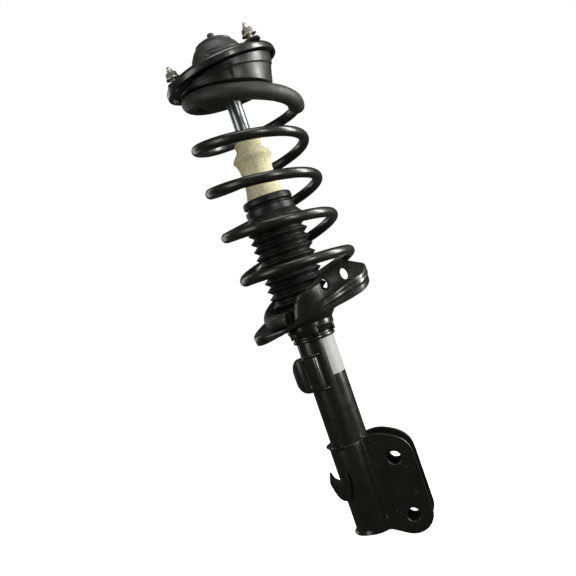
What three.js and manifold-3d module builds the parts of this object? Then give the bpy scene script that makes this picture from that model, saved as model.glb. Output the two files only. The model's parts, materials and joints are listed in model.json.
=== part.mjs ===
// Strut assembly: a twin-tube damper with a coil spring round it, a stamped knuckle bracket at the foot and a
// rubber-bushed bearing mount on top. Millimetres, +Z up along the damper's axis. The origin is the centre of the
// tube's base, and +X runs along the two ears of the knuckle bracket.
import * as THREE from 'three';
import { mergeVertices } from 'three/addons/utils/BufferGeometryUtils.js';
import Module from 'manifold-3d';

// ---------------------------------------------------------------- driving dimensions
const TUBE_R = 25, TUBE_WALL = 2.5, TUBE_TOP = 344;        // reserve tube
const PRESSURE_R = 17.5, PRESSURE_BORE = 15.8;             // inner cylinder
const ROD_R = 10, ROD_BORE = 10.35;                        // chromed rod and the bore it runs in
const GAP = 0.35;                                          // between touching pieces
const BRACKET_T = 3.4, EAR_GAP = 28, EAR_T = 4;            // knuckle bracket sheet, slot and ears
const BOLT_X = 51.5, BOLT_Z = [15, 91], BOLT_HOLE_R = 8.5; // knuckle bolts
const WIRE_R = 6.75;                                       // spring wire
const SLEEVE_TOP_R = 10.8, SLEEVE_LOW_R = 9.6;             // rubber sleeves on the end coils
const BOOT_LOW = 303, BOOT_HIGH = 460.4, BOOT_ROOT = 32.4, BOOT_TIP = 39, BOOT_TURNS = 12, BOOT_PITCH = 10.9;
const PLATE_R = 77, PLATE_Z = 637.5, PLATE_TX = 0.1156, PLATE_TY = 0.046; // mount plate and its slopes
const STUD_PCD_R = 65, STUD_ANGLES = [-164, -44, 76], STUD_R = 4;
const SEAT_TURN = 13.5;                                    // the spring seats are clocked this far from the ears, degrees

// ---------------------------------------------------------------- helpers
const wasm = await Module(); wasm.setup();
const rad = (d) => (d * Math.PI) / 180;
const clean = (g0) => {                                    // merged corners, no slivers, faces out
  let g = g0.clone();
  for (const k of Object.keys(g.attributes)) if (k !== 'position') g.deleteAttribute(k);
  g = mergeVertices(g, 1e-3);
  const p = g.attributes.position, idx = Array.from(g.index.array), out = [];
  let vol = 0;
  const A = new THREE.Vector3(), B = new THREE.Vector3(), C = new THREE.Vector3();
  for (let i = 0; i < idx.length; i += 3) {
    const [a, b, c] = [idx[i], idx[i + 1], idx[i + 2]];
    if (a === b || b === c || a === c) continue;
    A.fromBufferAttribute(p, a); B.fromBufferAttribute(p, b); C.fromBufferAttribute(p, c);
    vol += A.dot(B.cross(C)) / 6;
    out.push(a, b, c);
  }
  if (vol < 0) for (let i = 0; i < out.length; i += 3) [out[i + 1], out[i + 2]] = [out[i + 2], out[i + 1]];
  g.setIndex(out);
  return g;
};
const solid = (g0) => {
  const g = clean(g0);
  return new wasm.Manifold(new wasm.Mesh({ numProp: 3, vertProperties: new Float32Array(g.attributes.position.array), triVerts: new Uint32Array(g.index.array) }));
};
const mesh3 = (m) => {
  const q = m.getMesh(), g = new THREE.BufferGeometry();
  g.setAttribute('position', new THREE.BufferAttribute(new Float32Array(q.vertProperties), 3));
  g.setIndex(Array.from(q.triVerts));
  return clean(g);
};
const lathe = (pts, segs = 32, loop = true) => {           // profile of [r, z]; loop closes it on itself
  const p = pts.map(([r, z]) => new THREE.Vector2(r, z));
  if (loop) p.push(p[0].clone());
  return clean(new THREE.LatheGeometry(p, segs).rotateX(Math.PI / 2));
};
const plan = (pts, z0, z1, holes = []) => {                // outline in X,Y raised along Z
  const s = new THREE.Shape(pts.map(([x, y]) => new THREE.Vector2(x, y)));
  for (const h of holes) s.holes.push(new THREE.Path(h.map(([x, y]) => new THREE.Vector2(x, y))));
  return clean(new THREE.ExtrudeGeometry(s, { depth: z1 - z0, bevelEnabled: false, steps: 1 }).translate(0, 0, z0));
};
const side = (pts, y0, y1) => {                            // outline in X,Z raised along Y
  const s = new THREE.Shape(pts.map(([x, z]) => new THREE.Vector2(x, z)));
  return clean(new THREE.ExtrudeGeometry(s, { depth: y1 - y0, bevelEnabled: false, steps: 1 }).rotateX(Math.PI / 2).translate(0, y1, 0));
};
const grid = (P) => {                                      // points closed on themselves both ways
  const n = P.length, m = P[0].length, pos = [], idx = [];
  for (const row of P) for (const q of row) pos.push(q[0], q[1], q[2]);
  for (let i = 0; i < n; i++) for (let j = 0; j < m; j++) {
    const a = i * m + j, b = ((i + 1) % n) * m + j, c = ((i + 1) % n) * m + ((j + 1) % m), d = i * m + ((j + 1) % m);
    idx.push(a, b, c, a, c, d);
  }
  const g = new THREE.BufferGeometry();
  g.setAttribute('position', new THREE.BufferAttribute(new Float32Array(pos), 3));
  g.setIndex(idx);
  return clean(g);
};
const arc = (r, a0, a1, n) => Array.from({ length: n + 1 }, (_, i) => {
  const a = rad(a0 + ((a1 - a0) * i) / n);
  return [r * Math.cos(a), r * Math.sin(a)];
});
const lerpTable = (T, x, k) => {                           // smooth curve through a table of [x, ...values]
  let i = 0;
  while (i < T.length - 2 && T[i + 1][0] < x) i++;
  const p1 = T[i], p2 = T[i + 1], p0 = T[Math.max(0, i - 1)], p3 = T[Math.min(T.length - 1, i + 2)];
  const h = p2[0] - p1[0], t = Math.min(1, Math.max(0, (x - p1[0]) / h));
  const m1 = p2[0] === p0[0] ? 0 : ((p2[k] - p0[k]) / (p2[0] - p0[0])) * h, m2 = p3[0] === p1[0] ? 0 : ((p3[k] - p1[k]) / (p3[0] - p1[0])) * h;
  const t2 = t * t, t3 = t2 * t;
  return (2 * t3 - 3 * t2 + 1) * p1[k] + (t3 - 2 * t2 + t) * m1 + (-2 * t3 + 3 * t2) * p2[k] + (t3 - t2) * m2;
};
const wrapTable = (T) => {                                 // the same round a full turn
  const n = T.length;
  return [...T.slice(n - 2).map((r) => [r[0] - 360, ...r.slice(1)]), ...T, ...T.slice(0, 2).map((r) => [r[0] + 360, ...r.slice(1)])];
};

// ---------------------------------------------------------------- materials
const mat = (c, r, m) => new THREE.MeshStandardMaterial({ color: c, roughness: r, metalness: m });
const PAINT = mat(0x10110f, 0.32, 0.2), RUBBER = mat(0x1f2021, 0.75, 0), BELLOWS = mat(0x101010, 0.45, 0), FOAM = mat(0xd8d2b0, 0.7, 0),
  CHROME = mat(0xd8dade, 0.08, 1), ZINC = mat(0xc9c7b8, 0.35, 0.9), STEEL = mat(0x8d9094, 0.4, 0.9), LABEL = mat(0xe9e9e6, 0.6, 0),
  NYLON = mat(0x2a2b2d, 0.5, 0), CAPM = mat(0x232425, 0.6, 0);

const strut = new THREE.Group();
const turned = new THREE.Group();                          // pieces set out on the seats' clocking
turned.rotation.z = rad(SEAT_TURN);
strut.add(turned);
const add = (name, g, m, to = strut) => { const o = new THREE.Mesh(g, m); o.name = name; to.add(o); return o; };

// ---------------------------------------------------------------- damper
add('strut_tube', lathe([[TUBE_R, 4.8], [TUBE_R, TUBE_TOP], [TUBE_R - TUBE_WALL, TUBE_TOP], [TUBE_R - TUBE_WALL, 4.8]], 32), PAINT);
add('base_cap', lathe([[0, 0], [8, 0], [10.5, 1.4], [TUBE_R - TUBE_WALL - GAP, 5], [TUBE_R - TUBE_WALL - GAP, 7], [0, 7]], 20, false), PAINT);
add('base_valve', lathe([[0, 7.6], [19.5, 7.6], [21.5, 9], [21.5, 12.5], [PRESSURE_BORE - GAP, 13], [PRESSURE_BORE - GAP, 26], [6, 28], [0, 28]], 16, false), STEEL);
add('pressure_tube', lathe([[PRESSURE_R, 13.6], [PRESSURE_R, 322], [PRESSURE_BORE, 322], [PRESSURE_BORE, 13.6]], 20), STEEL);
add('rod_guide', lathe([[TUBE_R - TUBE_WALL - GAP, 323], [TUBE_R - TUBE_WALL - GAP, 334], [ROD_BORE, 334], [ROD_BORE, 314], [PRESSURE_BORE - GAP, 314], [PRESSURE_BORE - GAP, 322.4], [18, 323]], 20), STEEL);
add('rod_seal', lathe([[TUBE_R - TUBE_WALL - GAP, 334.5], [TUBE_R - TUBE_WALL - GAP, 341], [15, 343], [ROD_BORE, 343.4], [ROD_BORE, 334.5]], 20), RUBBER);
add('gland_cap', lathe([[27.3, 331], [27.3, 346.5], [24.5, 349], [ROD_BORE + 0.6, 349], [ROD_BORE + 0.6, 346], [24, 345], [TUBE_R + GAP, 344.5], [TUBE_R + GAP, 331]], 28), PAINT);

// knuckle bracket: a sheet wrapped round the tube and drawn in to two parallel ears
{
  const ri = TUBE_R + GAP, ro = ri + BRACKET_T, yi = EAR_GAP / 2, yo = yi + EAR_T, xa = 90;
  const wrap = arc(ro, 62, 298, 22);
  const outer = [[xa, yo], [23.5, yo], [19.5, yo + 0.8], [16.6, yo + 3], ...wrap, [16.6, -yo - 3], [19.5, -yo - 0.8], [23.5, -yo], [xa, -yo]];
  const a = (Math.asin(yi / ri) * 180) / Math.PI;
  const inner = [[xa, -yi], [22.5, -yi], ...arc(ri, 360 - a, a, 24), [22.5, yi], [xa, yi]];
  const body = solid(plan([...outer, ...inner], -12, 130));
  const ear = [[-45, 6.2], [-20, 7.6], [-4, 9.4], [9, 8.4], [20, 3], [32.6, -4.2], [40, -8.2]];
  for (let i = 0; i <= 9; i++) { const t = rad(-96 + (i * 96) / 9); ear.push([51.3 + 25.7 * Math.cos(t), 15.8 + 25.7 * Math.sin(t)]); }
  ear.push([77, 90], [75.6, 101], [71, 109.8], [63.5, 116.7], [50.6, 123.4], [41, 127], [30, 127.6], [20, 126.4], [15.5, 124.5], [-45, 124.5]);
  let b = body.intersect(solid(side(ear, -45, 45)));
  for (const z of BOLT_Z) b = b.subtract(solid(new THREE.CylinderGeometry(BOLT_HOLE_R, BOLT_HOLE_R, 80, 24).translate(BOLT_X, 0, z)));
  add('knuckle_bracket', mesh3(b), PAINT);
}

// lower spring seat: a deep-drawn pan round the tube. From the back round to the left it carries the last coil on a
// helical ledge; at the right and front it stands up in a sloping wall with a deep skirt.
// columns: angle, inner radius of the pan, height there, rim radius, rim height, skirt foot, and, where the wall has a
// crest between the two, its radius and height
const SEAT = wrapTable([
  [12, 41, 341.5, 85, 343.5, 331, 70, 351.6], [20, 41, 342, 75.5, 348.6, 339.6, 62, 350], [26, 41, 342.5, 70.4, 352, 343.5], [40, 41, 344, 65.5, 349.5, 341.5], [58, 41, 340, 59, 344.5, 337],
  [69, 41, 334, 58, 338, 330], [78, 41, 321, 63, 323, 312], [88, 41, 317.5, 74, 318.8, 307], [112, 41, 311.5, 77, 312.2, 300], [135, 39, 304.5, 77, 305, 292], [157, 35.5, 297.4, 76.5, 297.4, 284.5],
  [180, 33.8, 292, 75.2, 292, 280], [200, 33.6, 291.4, 70.5, 291.4, 279.5], [220, 33.6, 291.2, 60.5, 291.2, 283], [240, 34, 293, 53, 291.4, 287],
  [252, 38, 315, 49, 297, 290], [270, 40.6, 328, 48.2, 303, 292, 43.6, 321], [300, 41, 336.6, 54.5, 310.5, 295.3, 46, 331], [315, 41, 340.2, 62.5, 316, 297.3, 47.5, 336.4],
  [330, 41, 342.5, 74.5, 321.7, 300.5, 47, 343], [345, 41, 342, 88, 326.5, 306, 52, 347.6], [360, 41, 341.5, 94.2, 337, 317, 64, 351]]
  .map(([d, r1, z1, r2, z2, zf, rc, zc]) => [d % 360, r1, z1, r2, z2, zf, rc ?? r1 + 0.35 * (r2 - r1), zc ?? z1 + 0.3 * (z2 - z1)]).sort((p, q) => p[0] - q[0]));
{
  const T = 2.8, P = [], n = 40;
  for (let i = 0; i < n; i++) {
    const d = (i * 360) / n, a = rad(d), c = Math.cos(a), s = Math.sin(a);
    const [r1, z1, r2, z2, zf, rc, zc] = [1, 2, 3, 4, 5, 6, 7].map((k) => lerpTable(SEAT, d, k));
    const floor = Math.min(297.5, z1 - 0.4);
    const loop = [[TUBE_R + GAP, floor], [r1 - 1.6, floor], [r1, Math.max(z1, floor + 0.4)], [rc, zc], [r2 - 3.5, z2 + 0.6], [r2 - 0.9, z2 - 0.6], [r2, z2 - 3.4], [r2 - 1.6, zf],
      [r2 - 1.6 - T, zf], [r2 - T, z2 - 4.6], [r2 - 4.6, z2 - T], [rc, zc - T - 0.6], [r1 + T, Math.max(z1 - T - 1, floor - T + 0.4)], [r1 - 0.6 + T * 0.4, floor - T], [TUBE_R + GAP, floor - T]];
    P.push(loop.map(([r, z]) => [r * c, r * s, z]));
  }
  let seat = solid(grid(P));
  // two piercings in the sloping wall
  const bore = (x, y, z, w, h, long) => solid(new THREE.CylinderGeometry(1, 1, long, 16).scale(w, 1, h).translate(x, y, z));
  seat = seat.subtract(bore(34, -8, 327.5, 5.9, 7.5, 100)).subtract(bore(62, -14, 332.5, 4.6, 7.4, 90));
  add('lower_spring_seat', mesh3(seat), PAINT, turned);
}
add('seat_support_collar', lathe([[TUBE_R + GAP, 264], [27.8, 264], [28.2, 265], [28.2, 268], [26.6, 269.4], [26.6, 271.5], [29.6, 274], [31.4, 279], [31.4, 287], [TUBE_R + GAP, 287]], 24), PAINT);

// hose bracket: a box-shaped pressing on the left of the tube
{
  const outline = [[-5, 25.4], [-7, 29], [-11, 30.4], [-29, 28.4], [-34.5, 25], [-39, 18.5], [-41.2, 9], [-41.2, -4], [-38.5, -10.5], [-33, -13], [-23.5, -12]].map(([x, t]) => [x, -t]);
  const rim = [[-20.5, 202], [-31, 202.4], [-37, 206], [-40.6, 212.4], [-42, 222], [-41.4, 232], [-38, 240.5], [-33, 244.6], [-27, 245.4], [0, 243.2], [0, 204]];
  let b = solid(plan(outline.concat([[-14, 10], [-4, -14]]), 190, 250)).intersect(solid(side(rim, -60, 60)));
  b = b.subtract(solid(new THREE.CylinderGeometry(TUBE_R + GAP, TUBE_R + GAP, 200, 48).rotateX(Math.PI / 2).translate(0, 0, 222)));
  b = b.subtract(solid(plan([[-27, 3], [-38, 3], [-38, 30], [-27, 30]], 207, 237)));
  const parts = b.decompose().sort((p, q) => q.volume() - p.volume());
  add('hose_bracket', mesh3(parts[0]), PAINT, turned);
}
// line clip: a two-pronged hook plate standing on the left of the bracket
{
  const f = [[-12.2, 95], [-15, 87.5], [-17.4, 80], [-14.6, 70], [-10.6, 60.6], [-5.6, 56.2], [-2, 55.2], [3, 55], [7.6, 58.4], [10.6, 66], [13.4, 76], [14, 83], [12.8, 91.6], [10.4, 87.6], [7.2, 84.4], [2.6, 83.2], [-3.4, 83.4], [-8.8, 86.6]];
  const g = side(f, -1.6, 1.6);
  const h = new THREE.Group(); h.position.set(-27.8, -18.4, 0); h.rotation.z = rad(-38); turned.add(h);
  add('line_clip', g, PAINT, h);
}
// blank label on the tube's right side
add('label', plan([...arc(TUBE_R + 0.9, -72, 26, 12), ...arc(TUBE_R + 0.4, 26, -72, 12)], 215, 263.6), LABEL, turned);

// ---------------------------------------------------------------- spring, left-handed
// columns: angle from the top end round the axis, radius, height
const WIRE = [[24, 56, 612.2], [45, 56, 612], [90, 55.6, 611], [135, 55, 609.4], [180, 54.6, 606.4], [225, 56.6, 599], [270, 61.5, 588], [315, 70, 574.5], [360, 77.4, 562.4],
  [405, 76, 560], [450, 71.5, 556], [495, 68.2, 550.5], [540, 66.6, 546], [630, 69.6, 530.5], [720, 72.4, 515.9], [810, 70, 501.6], [900, 67.7, 487.3], [990, 70, 474.9],
  [1080, 72.4, 462.2], [1170, 69.8, 444.6], [1260, 66.6, 426.4], [1350, 71, 418.2], [1440, 75.7, 409.6], [1530, 70.5, 387.2], [1620, 61.8, 365.2], [1665, 65, 363.4], [1710, 71, 362.2], [1755, 77.5, 361],
  [1800, 81.4, 358.6], [1823, 80.4, 353], [1845, 77, 346], [1870, 71, 338], [1890, 66.2, 331.6], [1912, 61, 324.4], [1935, 55.6, 316], [1957, 49.8, 308], [1980, 45.6, 302.8], [2005, 44.8, 301.6], [2034, 45, 301.4]];
const wireAt = (d) => { const r = lerpTable(WIRE, d, 1), z = lerpTable(WIRE, d, 2), a = rad(d); return new THREE.Vector3(r * Math.cos(a), r * Math.sin(a), z); };
const STEP = 23, stations = [];
for (let d = 24; d <= 2034.01; d += STEP) stations.push(Math.min(d, 2034));
const section = (d, r, n) => {                             // a round section square to the wire
  const c = wireAt(d), t = wireAt(d + 0.5).sub(wireAt(d - 0.5)).normalize();
  const a = rad(d), u = new THREE.Vector3(Math.cos(a), Math.sin(a), 0), x = u.clone().sub(t.clone().multiplyScalar(u.dot(t))).normalize(), y = t.clone().cross(x);
  return Array.from({ length: n }, (_, j) => { const q = (2 * Math.PI * j) / n, v = c.clone().addScaledVector(x, r * Math.cos(q)).addScaledVector(y, r * Math.sin(q)); return [v.x, v.y, v.z]; });
};
const SIDES = 8;
{
  const rows = stations.map((d) => section(d, WIRE_R, SIDES)), pos = rows.flat(2), idx = [], n = rows.length;
  for (let i = 0; i < n - 1; i++) for (let j = 0; j < SIDES; j++) {
    const a = i * SIDES + j, b = (i + 1) * SIDES + j, c = (i + 1) * SIDES + ((j + 1) % SIDES), d = i * SIDES + ((j + 1) % SIDES);
    idx.push(a, b, c, a, c, d);
  }
  for (let j = 1; j < SIDES - 1; j++) { idx.push(0, j, j + 1); const o = (n - 1) * SIDES; idx.push(o, o + j + 1, o + j); }
  const g = new THREE.BufferGeometry(); g.setAttribute('position', new THREE.BufferAttribute(new Float32Array(pos), 3)); g.setIndex(idx);
  add('coil_spring', clean(g), PAINT, turned);
}
const sleeve = (d0, d1, ro) => {                           // hollow sleeve on the stations between two angles
  const s = stations.filter((d) => d >= d0 && d <= d1);
  return grid([...s.map((d) => section(d, ro, SIDES)), ...s.slice().reverse().map((d) => section(d, WIRE_R + 0.8, SIDES))]);
};
add('upper_spring_sleeve', sleeve(24, 372, SLEEVE_TOP_R), RUBBER, turned);
add('lower_spring_sleeve', sleeve(1920, 2034.1, SLEEVE_LOW_R), RUBBER, turned);

// dust boot: sharp bellows hung from the bump stop
{
  const out = [[31.4, BOOT_LOW], [31.8, 312]], t = 1.6;
  for (let i = 0; i < BOOT_TURNS; i++) { const z = 314 + i * BOOT_PITCH; if (z + 5.4 > 438) break; out.push([BOOT_ROOT, z], [BOOT_TIP, z + 5.4]); }
  out.push([BOOT_ROOT, 438], [32.4, 440], [32.4, 446.4], [29, 447.6], [29, 449.6], [32.6, 450.8], [32.4, 457.6], [30.4, 459.6], [27, BOOT_HIGH]);
  const inn = [[26.6, BOOT_HIGH - 1.6], [29.8, 457.4], [30.4, 452], [27.2, 450.4], [27.2, 447], [30.4, 445], [30.4, 439]];
  for (let i = BOOT_TURNS - 1; i >= 0; i--) { const z = 314 + i * BOOT_PITCH; if (z + 5.4 > 438) continue; inn.push([BOOT_TIP - t - 0.6, z + 5.4], [BOOT_ROOT - t, z]); }
  inn.push([30, 312], [29.6, BOOT_LOW]);
  add('dust_boot', lathe([...out, ...inn], 14), BELLOWS);
}
// bump stop: waisted foam bumper on the rod
add('bump_stop', lathe([[ROD_R + 0.6, 452], [25.4, 452], [25.4, 462], [23.4, 470], [21.3, 480], [21, 492], [21.8, 503], [23.8, 514], [26.4, 520], [26.4, 523.5], [24, 529], [18, 536.5],
  [17.2, 541], [17.4, 546], [18.4, 551], [17.6, 555], [14.5, 556.4], [ROD_R + 0.6, 556.4]].map(([r, z]) => [r, z > 500 ? 500 + (z - 500) * (37 / 56.4) + 0.6 * 0 : z]), 20), FOAM);

// ---------------------------------------------------------------- upper spring seat and bearing
const CUP_FOOT = wrapTable([[4, 604], [16, 624], [60, 624], [90, 623.4], [135, 622], [180, 618.6], [225, 612.5], [270, 604.5], [315, 598], [345, 596.4]]);
const lean = (r, a) => r * (PLATE_TX * Math.cos(a) + PLATE_TY * Math.sin(a)); // follows the mount plate above it
{
  const P = [], Q = [], n = 32, T = 2.6;
  for (let i = 0; i < n; i++) {
    const d = (i * 360) / n, a = rad(d), c = Math.cos(a), s = Math.sin(a), zt = 628.6 + lean(66.5, a), zf = Math.min(lerpTable(CUP_FOOT, d, 1), zt - 2.8), rf = 58.4 + ((zf - 603) * 9.4) / 40;
    const rt = 58.4 + ((zt - 603) * 9.4) / 40, zm = 630.5 + 0.6 * lean(50, a);
    const loop = [[rf, zf], [rt - 0.3, zt - 1.6], [rt - 1.8, zt], [50, zm], [36, 635.6], [13, 635.6], [13, 599.6], [22, 599.6], [36, 596.4], [40.5, 596.4], [40.5, zm - T - 0.4], [50, zm - T], [rt - T - 1.4, zt - T + 0.4], [rf - T, zf]];
    P.push(loop.map(([r, z]) => [r * c, r * s, z]));
    const pad = [[42, zf + 2], [rf - T - 1.4, zf + 1.4], [rf - T - 0.9, Math.min(zf + 4, zt - T - 2.4)], [rt - T - 3, zt - T - 1.6], [50, zm - T - 0.5], [42, zm - T - 1.2]];
    Q.push(pad.map(([r, z]) => [r * c, r * s, z]));
  }
  add('upper_spring_seat', grid(P), PAINT, turned);
  add('upper_spring_insulator', grid(Q), RUBBER, turned);
}
add('bearing_lower_race', lathe([[16, 636], [34, 636], [34, 638.2], [28.4, 638.2], [27.4, 637.3], [24.6, 637.3], [23.6, 638.2], [16, 638.2]], 20), STEEL);
{
  // ball cage: a ring with its balls in one body
  let cage = solid(lathe([[23.2, 638.9], [28.8, 638.9], [28.8, 640.1], [23.2, 640.1]], 20));
  for (let i = 0; i < 9; i++) { const a = rad(i * 40); cage = cage.add(solid(new THREE.SphereGeometry(1.9, 6, 4).translate(26 * Math.cos(a), 26 * Math.sin(a), 639.5))); }
  add('bearing_ball_cage', mesh3(cage), NYLON);
}
add('bearing_upper_race', lathe([[16, 640.8], [23.6, 640.8], [24.6, 641.7], [27.4, 641.7], [28.4, 640.8], [33, 640.8], [33, 643.4], [16, 643.4]], 20), STEEL);

// ---------------------------------------------------------------- top mount
const tilt = new THREE.Group();                            // the plate leans: right and back edges up
{
  const q = new THREE.Quaternion().setFromUnitVectors(new THREE.Vector3(0, 0, 1), new THREE.Vector3(-PLATE_TX, -PLATE_TY, 1).normalize());
  tilt.quaternion.copy(q); tilt.position.set(0, 0, PLATE_Z); turned.add(tilt);
}
const plateTop = (r) => (r > 66 ? 3.6 + (r - 66) * -0.45 : 3.6 + (66 - r) * 0.2);
{
  const T = 3;
  const outer = [[37.4, plateTop(37.4)], [50, plateTop(50)], [66, 3.6], [73, 0.6], [76, -2], [PLATE_R, -5.2], [PLATE_R, -10]];
  const inner = [[PLATE_R - T, -10], [PLATE_R - T, -5], [72.6, -2.6], [65.5, 0.6], [50, plateTop(50) - T], [37.4, plateTop(37.4) - T]];
  const disc = lathe([...outer, ...inner], 32), at = disc.attributes.position;
  for (let i = 0; i < at.count; i++) {                     // the rim sits 3.6 mm off the studs' circle
    const k = Math.min(1, Math.max(0, (Math.hypot(at.getX(i), at.getY(i)) - 46) / 18));
    at.setX(i, at.getX(i) - 3.6 * k * k * (3 - 2 * k));
  }
  let p = solid(disc);
  for (const a of STUD_ANGLES) p = p.subtract(solid(new THREE.CylinderGeometry(STUD_R + GAP, STUD_R + GAP, 40, 12).rotateX(Math.PI / 2).translate(STUD_PCD_R * Math.cos(rad(a)), STUD_PCD_R * Math.sin(rad(a)), 0)));
  // a flat boss between two studs is the face that meets the body tower
  const boss = solid(new THREE.CylinderGeometry(7, 7, 4, 16).rotateX(Math.PI / 2).translate(58 * Math.cos(rad(16)), 58 * Math.sin(rad(16)), 4.6));
  p = p.add(boss);
  add('mount_plate', mesh3(p), PAINT, tilt);
  STUD_ANGLES.forEach((a, i) => {
    const x = STUD_PCD_R * Math.cos(rad(a)), y = STUD_PCD_R * Math.sin(rad(a));
    const head = -4.2;                                    // foot of the stud's head, under the plate
    const seg = 12;
    const stud = lathe([[0, head], [4.9, head], [4.9, head + 1.2], [STUD_R, head + 1.2], [STUD_R, 22.6], [2.6, 24.4], [1.2, 28], [0, 28.4]], seg, false).translate(x, y, 0);
    add(`stud_${i + 1}`, stud, ZINC, tilt);
    const hex = (r, z0, z1) => plan(Array.from({ length: 6 }, (_, k) => [r * Math.cos(rad(60 * k)), r * Math.sin(rad(60 * k))]), z0, z1);
    let nut = solid(hex(7.4, 12.6, 19)).add(solid(lathe([[0, 10.4], [9.6, 10.4], [9.6, 11.6], [6.4, 14], [0, 14]], 18, false)));
    nut = nut.subtract(solid(new THREE.CylinderGeometry(STUD_R + 0.4, STUD_R + 0.4, 60, seg).rotateX(Math.PI / 2)));
    add(`flange_nut_${i + 1}`, mesh3(nut).translate(x, y, 0), ZINC, tilt);
  });
}
add('mount_rubber', lathe([[14.6, 643.9], [31.8, 643.9], [32.6, 645], [32.6, 650.6], [30.4, 655.4], [26, 658.4], [14.6, 658.4]], 20), RUBBER);
add('mount_inner_sleeve', lathe([[10.8, 643.9], [14.2, 643.9], [14.2, 660.4], [7.6, 660.4], [7.6, 657.6], [10.8, 657.6]], 16), STEEL);
add('dust_cap', lathe([[0, 686.6], [3.4, 686.4], [4.7, 685], [4.7, 679.7], [7, 679.2], [17.5, 676.8], [24.2, 672.8], [25.8, 670.6], [29.4, 666.5], [33.8, 658.5], [35.2, 652], [35.2, 645.6],
  [33.4, 645.6], [33.4, 651], [31.4, 658], [27, 665.4], [22.6, 670.2], [16.4, 674], [7, 676.2], [0, 676.6]], 24, false), CAPM);
add('rod_washer', lathe([[7.4, 661], [17, 661], [17, 663.4], [7.4, 663.4]], 16), ZINC);
{
  let n = solid(plan(Array.from({ length: 6 }, (_, k) => [12 * Math.cos(rad(60 * k)), 12 * Math.sin(rad(60 * k))]), 663.8, 671));
  n = n.subtract(solid(new THREE.CylinderGeometry(7.4, 7.4, 60, 20).rotateX(Math.PI / 2).translate(0, 0, 665)));
  add('rod_nut', mesh3(n), ZINC);
}
add('piston_rod', lathe([[0, 262.4], [6.4, 262.4], [6.4, 290], [ROD_R, 290], [ROD_R, 656.8], [7, 657.2], [7, 672.5], [5.6, 674], [0, 674]], 20, false), CHROME);
add('piston', lathe([[6.8, 272.6], [14, 272.6], [15.4, 274], [15.4, 277.2], [13.6, 277.4], [13.6, 283.4], [15.4, 283.6], [15.4, 288], [14, 289.4], [6.8, 289.4]], 16), STEEL);
add('piston_ring', lathe([[13.95, 277.8], [15.45, 277.8], [15.45, 283], [13.95, 283]], 16), NYLON);
{
  let n = solid(plan(Array.from({ length: 6 }, (_, k) => [10.6 * Math.cos(rad(60 * k)), 10.6 * Math.sin(rad(60 * k))]), 264, 272));
  n = n.subtract(solid(new THREE.CylinderGeometry(6.8, 6.8, 60, 20).rotateX(Math.PI / 2).translate(0, 0, 268)));
  add('piston_nut', mesh3(n), STEEL);
}
add('rebound_stop', lathe([[ROD_R + 0.4, 302], [14.6, 302], [14.6, 313.2], [ROD_R + 0.4, 313.2]], 16), RUBBER);

export default strut;
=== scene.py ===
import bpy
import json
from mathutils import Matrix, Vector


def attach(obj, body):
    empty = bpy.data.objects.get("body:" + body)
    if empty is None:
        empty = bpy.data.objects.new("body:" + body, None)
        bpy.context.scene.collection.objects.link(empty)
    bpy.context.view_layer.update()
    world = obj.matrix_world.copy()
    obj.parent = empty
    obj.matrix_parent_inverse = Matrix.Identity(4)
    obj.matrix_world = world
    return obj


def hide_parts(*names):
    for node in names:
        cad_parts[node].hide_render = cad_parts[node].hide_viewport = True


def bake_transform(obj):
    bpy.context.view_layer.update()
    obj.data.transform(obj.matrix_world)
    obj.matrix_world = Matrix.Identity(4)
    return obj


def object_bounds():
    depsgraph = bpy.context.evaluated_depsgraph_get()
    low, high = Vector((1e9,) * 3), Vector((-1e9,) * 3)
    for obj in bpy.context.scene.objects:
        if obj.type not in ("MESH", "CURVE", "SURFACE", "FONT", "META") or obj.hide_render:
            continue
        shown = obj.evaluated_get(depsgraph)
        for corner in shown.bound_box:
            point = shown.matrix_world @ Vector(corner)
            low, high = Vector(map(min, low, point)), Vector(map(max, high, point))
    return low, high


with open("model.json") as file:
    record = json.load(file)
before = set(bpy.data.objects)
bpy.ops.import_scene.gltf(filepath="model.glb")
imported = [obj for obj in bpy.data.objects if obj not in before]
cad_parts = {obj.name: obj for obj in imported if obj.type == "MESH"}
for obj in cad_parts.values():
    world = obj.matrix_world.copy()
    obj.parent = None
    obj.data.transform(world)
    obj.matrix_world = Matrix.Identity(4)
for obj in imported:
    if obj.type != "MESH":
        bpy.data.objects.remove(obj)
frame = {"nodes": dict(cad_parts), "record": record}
CAD_BOX = [[float(v) for v in p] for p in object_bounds()]

import bpy, bmesh, json, math
import numpy as np
from mathutils import Matrix, Vector, noise

MM = 0.001
PHI = math.radians(13.5)            # how far the seats are clocked from the bracket's ears
CP, SP = math.cos(PHI), math.sin(PHI)
TAU = 2 * math.pi

# ------------------------------------------------------------------ camera
sc = bpy.context.scene
view = Vector((-SP, CP, 0)); across = Vector((CP, SP, 0)); up = Vector((0, 0, 1))
ROLL = math.radians(19.0)
right_v = across * math.cos(ROLL) - up * math.sin(ROLL)
up_v = across * math.sin(ROLL) + up * math.cos(ROLL)
cam_d = bpy.data.cameras.new("camera"); cam = bpy.data.objects.new("camera", cam_d); sc.collection.objects.link(cam)
cam_d.sensor_width = 36.0; cam_d.lens = 43.44; cam_d.clip_start = 0.02; cam_d.clip_end = 60
cam_at = across * -0.01133 + view * -0.9105 + up * 0.3384
m = Matrix((right_v, up_v, -view)).transposed().to_4x4(); m.translation = cam_at
cam.matrix_world = m
sc.camera = cam

# ------------------------------------------------------------------ materials
def nt(name):
    mt = bpy.data.materials.new(name); mt.use_nodes = True
    t = mt.node_tree; t.nodes.clear()
    out = t.nodes.new("ShaderNodeOutputMaterial"); b = t.nodes.new("ShaderNodeBsdfPrincipled")
    t.links.new(b.outputs[0], out.inputs[0])
    return mt, t, b

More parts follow.
